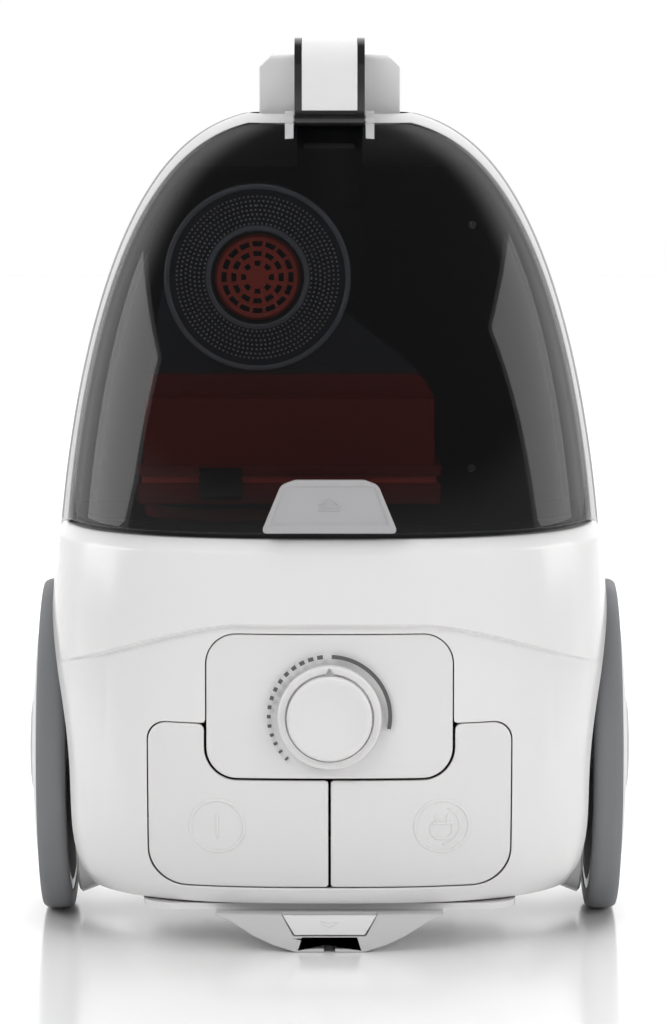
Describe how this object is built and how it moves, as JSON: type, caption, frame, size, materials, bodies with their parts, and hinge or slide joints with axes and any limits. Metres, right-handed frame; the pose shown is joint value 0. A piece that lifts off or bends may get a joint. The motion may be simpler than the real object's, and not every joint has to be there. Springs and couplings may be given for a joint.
{
  "type": "canister vacuum cleaner",
  "caption": "Bagless cyclonic canister vacuum cleaner parked upright on its tail, with smoke lid, dial, foot pedals, side wheels, caster and carrying handle.",
  "frame": {"origin": "on the ground, below the middle of the whole cleaner as it stands parked on its tail", "axes": "+Z from the tail up to the nose, -Y towards the crown side with lid, dial and pedals, +Y towards the belly and its wheels, +X to the right of someone facing the crown"},
  "size_m": [0.293, 0.2276, 0.426],
  "materials": {
    "white_shell": "satin moulded ABS",
    "smoke_lid": "polished smoke-tinted polycarbonate",
    "light_grey": "satin moulded ABS",
    "mid_grey": "fine-grained moulded plastic",
    "black_plastic": "glossy moulded ABS",
    "dark_plastic": "matt moulded polypropylene",
    "smoke_box": "smoke-tinted styrene",
    "red_plastic": "satin moulded ABS",
    "tyre_rubber": "soft thermoplastic rubber",
    "seal_rubber": "soft foam rubber",
    "steel": "drawn steel",
    "copper": "lacquered copper windings",
    "iron": "stacked motor laminations",
    "filter_paper": "pleated filter fleece",
    "foam": "open-cell foam",
    "board": "lacquered circuit board"
  },
  "bodies": {
    "base": {"base_shell": "white_shell", "side_band": "mid_grey", "rim_frame": "white_shell", "nose_block": "white_shell", "handle_frame": "black_plastic", "handle_cover": "white_shell", "rear_cover": "white_shell", "compartment_tub": "dark_plastic", "case_screws": "steel", "dial_panel": "white_shell", "dial_scale": "mid_grey", "control_board": "board", "power_switch": "dark_plastic", "pedal_guides": "dark_plastic", "tail_frame": "white_shell", "filter_frame": "dark_plastic", "hepa_filter": "filter_paper", "motor_housing": "dark_plastic", "motor_stator": "iron", "motor_bearings": "steel", "motor_seals": "seal_rubber", "motor_filter": "foam", "filter_basket": "red_plastic", "reel_axle": "steel", "brake_pin": "steel", "cord_gland": "dark_plastic", "lid_hinge_pin": "steel", "dust_container": "smoke_box", "cyclone_shroud": "dark_plastic", "shroud_grille": "red_plastic", "container_flap": "red_plastic", "container_clip": "black_plastic", "container_seal": "seal_rubber", "inlet_duct": "dark_plastic", "axle_stubs": "steel"},
    "lid": {"lid": "smoke_lid", "lid_seal": "seal_rubber"},
    "lid_tab": {"lid_tab": "light_grey"},
    "power_pedal": {"power_pedal": "white_shell"},
    "rewind_pedal": {"rewind_pedal": "white_shell"},
    "dial": {"dial_knob": "white_shell", "dial_shaft": "steel"},
    "exhaust_cover": {"exhaust_cover": "white_shell", "parking_bracket": "white_shell"},
    "exhaust_latch": {"exhaust_latch": "light_grey"},
    "motor_rotor": {"motor_rotor": "copper", "motor_shaft": "steel", "fan_impeller": "steel"},
    "cord_reel": {"reel_drum": "light_grey"},
    "reel_brake": {"reel_brake": "light_grey"},
    "wheel_left": {"wheel_disc_left": "light_grey", "tyre_left": "tyre_rubber"},
    "wheel_right": {"wheel_disc_right": "light_grey", "tyre_right": "tyre_rubber"},
    "caster_fork": {"caster_fork": "dark_plastic", "caster_pin": "steel"},
    "caster_wheel": {"caster_wheel": "dark_plastic"}
  },
  "joints": [
    {"name": "lid_hinge", "type": "hinge", "parent": "base", "child": "lid", "pos_m": [0, -0.03355, 0.388], "axis": [-1, 0, 0], "range_deg": [0, 60]},
    {"name": "lid_tab_lift", "type": "hinge", "parent": "lid", "child": "lid_tab", "pos_m": [0, -0.10346, 0.2017], "axis": [1, 0, 0], "range_deg": [0, 12], "stiffness_Nm_per_rad": 0.15, "springref_deg": -5.73},
    {"name": "power_press", "type": "slide", "parent": "base", "child": "power_pedal", "axis": [0, 1, 0], "range_m": [0, 0.004], "stiffness_N_per_m": 600, "springref_m": -0.002},
    {"name": "rewind_press", "type": "slide", "parent": "base", "child": "rewind_pedal", "axis": [0, 1, 0], "range_m": [0, 0.004], "stiffness_N_per_m": 600, "springref_m": -0.002},
    {"name": "dial_turn", "type": "hinge", "parent": "base", "child": "dial", "pos_m": [0, -0.10476, 0.1144], "axis": [0, -1, 0], "range_deg": [-135, 135]},
    {"name": "exhaust_cover_hinge", "type": "hinge", "parent": "base", "child": "exhaust_cover", "pos_m": [0, 0.07276, 0.0195], "axis": [1, 0, 0], "range_deg": [0, 70]},
    {"name": "exhaust_latch_press", "type": "slide", "parent": "exhaust_cover", "child": "exhaust_latch", "axis": [0, 1, 0], "range_m": [0, 0.003], "stiffness_N_per_m": 500, "springref_m": -0.001},
    {"name": "motor_spin", "type": "hinge", "parent": "base", "child": "motor_rotor", "pos_m": [-0.05, -0.00324, 0.1], "axis": [0, 0, 1], "continuous": true},
    {"name": "reel_spin", "type": "hinge", "parent": "base", "child": "cord_reel", "pos_m": [0.045, 0.00276, 0.119], "axis": [1, 0, 0], "continuous": true},
    {"name": "reel_brake_tilt", "type": "hinge", "parent": "base", "child": "reel_brake", "pos_m": [0.052, -0.07007, 0.097], "axis": [1, 0, 0], "range_deg": [0, 8]},
    {"name": "wheel_left_spin", "type": "hinge", "parent": "base", "child": "wheel_left", "pos_m": [-0.132, 0.03276, 0.081], "axis": [1, 0, 0], "continuous": true},
    {"name": "wheel_right_spin", "type": "hinge", "parent": "base", "child": "wheel_right", "pos_m": [0.132, 0.03276, 0.081], "axis": [1, 0, 0], "continuous": true},
    {"name": "caster_swivel", "type": "hinge", "parent": "base", "child": "caster_fork", "pos_m": [0, 0.08276, 0.327], "axis": [0, 1, 0], "continuous": true},
    {"name": "caster_roll", "type": "hinge", "parent": "caster_fork", "child": "caster_wheel", "pos_m": [0, 0.10476, 0.335], "axis": [1, 0, 0], "continuous": true}
  ],
  "couplings": [
    {"joint": "reel_brake_tilt", "follows": "rewind_press", "rad_per_m": 27.778}
  ]
}
